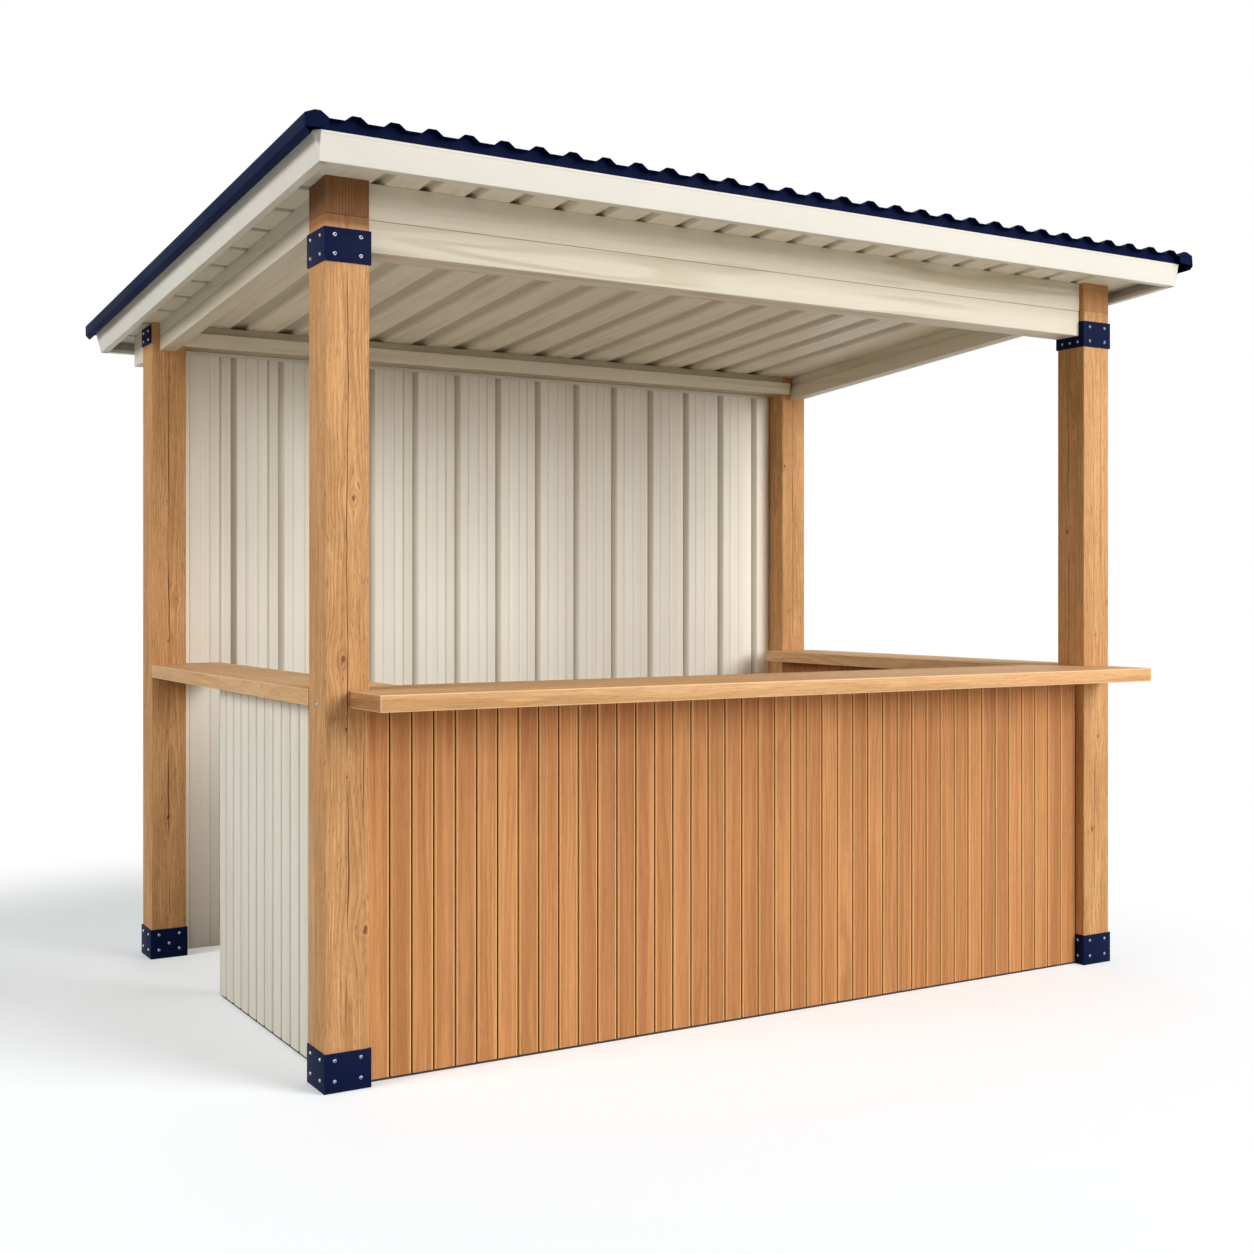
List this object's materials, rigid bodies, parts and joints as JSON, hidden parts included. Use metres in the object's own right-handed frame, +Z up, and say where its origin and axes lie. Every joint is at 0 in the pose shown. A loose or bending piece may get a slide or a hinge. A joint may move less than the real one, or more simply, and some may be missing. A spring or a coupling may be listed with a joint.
{
  "type": "outdoor garden bar",
  "caption": "Timber post garden bar with a mono-pitch steel roof, sheet steel back wall, board clad front and a counter round the front and sides.",
  "frame": {"origin": "on the ground under the middle of the roof's plan", "axes": "+X to the right along the front, +Y to the back, +Z up; the front counter faces -Y"},
  "size_m": [3.346, 2.5432, 2.6035],
  "materials": {
    "post_timber": "honey brown stained timber with knots and cracks",
    "counter_timber": "lighter sealed timber boards",
    "board_timber": "orange brown upright tongue and groove boards",
    "framing_timber": "plain sawn softwood",
    "cream_timber": "cream painted timber, grain showing faintly",
    "white_panel": "off-white painted slats",
    "cream_sheet": "cream coated profiled steel",
    "navy_sheet": "navy coated profiled steel",
    "navy_steel": "navy powder coated steel plate"
  },
  "bodies": {
    "root": {"back_rail": "cream_timber", "back_top_plate": "cream_timber", "back_wall_frame": "framing_timber", "back_wall_inner": "cream_sheet", "back_wall_outer": "cream_sheet", "ceiling_liner": "cream_sheet", "eaves_board_back": "framing_timber", "eaves_board_front": "framing_timber", "eaves_closure_back": "navy_sheet", "eaves_closure_front": "navy_sheet", "entrance_shelf": "counter_timber", "fascia_back": "cream_sheet", "fascia_corners": "cream_sheet", "fascia_front": "cream_sheet", "fascia_left": "cream_sheet", "fascia_right": "cream_sheet", "front_beam": "cream_timber", "front_cladding": "board_timber", "front_counter_inner": "counter_timber", "front_counter_outer": "counter_timber", "front_lining": "board_timber", "front_top_plate": "cream_timber", "front_wall_frame": "framing_timber", "head_block_left": "post_timber", "head_block_right": "post_timber", "head_bracket_front_left": "navy_steel", "head_bracket_front_right": "navy_steel", "head_plate_back_left": "navy_steel", "head_plate_back_right": "navy_steel", "left_lining": "board_timber", "left_panel": "white_panel", "left_shelf": "counter_timber", "left_wall_frame": "framing_timber", "left_wall_jamb": "white_panel", "post_back_left": "post_timber", "post_back_right": "post_timber", "post_front_left": "post_timber", "post_front_right": "post_timber", "rear_beam": "cream_timber", "right_counter": "counter_timber", "right_lining": "board_timber", "right_panel": "white_panel", "right_wall_frame": "framing_timber", "roof_battens": "framing_timber", "roof_sheet": "navy_sheet", "shoe_back_left": "navy_steel", "shoe_back_right": "navy_steel", "shoe_front_left": "navy_steel", "shoe_front_right": "navy_steel", "side_beam_left": "cream_timber", "side_beam_right": "cream_timber", "side_plate_left": "cream_timber", "side_plate_right": "cream_timber", "side_trim_left": "navy_sheet", "side_trim_right": "navy_sheet", "soffit_left": "cream_sheet", "soffit_right": "cream_sheet", "wall_trim_inner": "cream_sheet", "wall_trim_outer": "cream_sheet"}
  },
  "joints": []
}
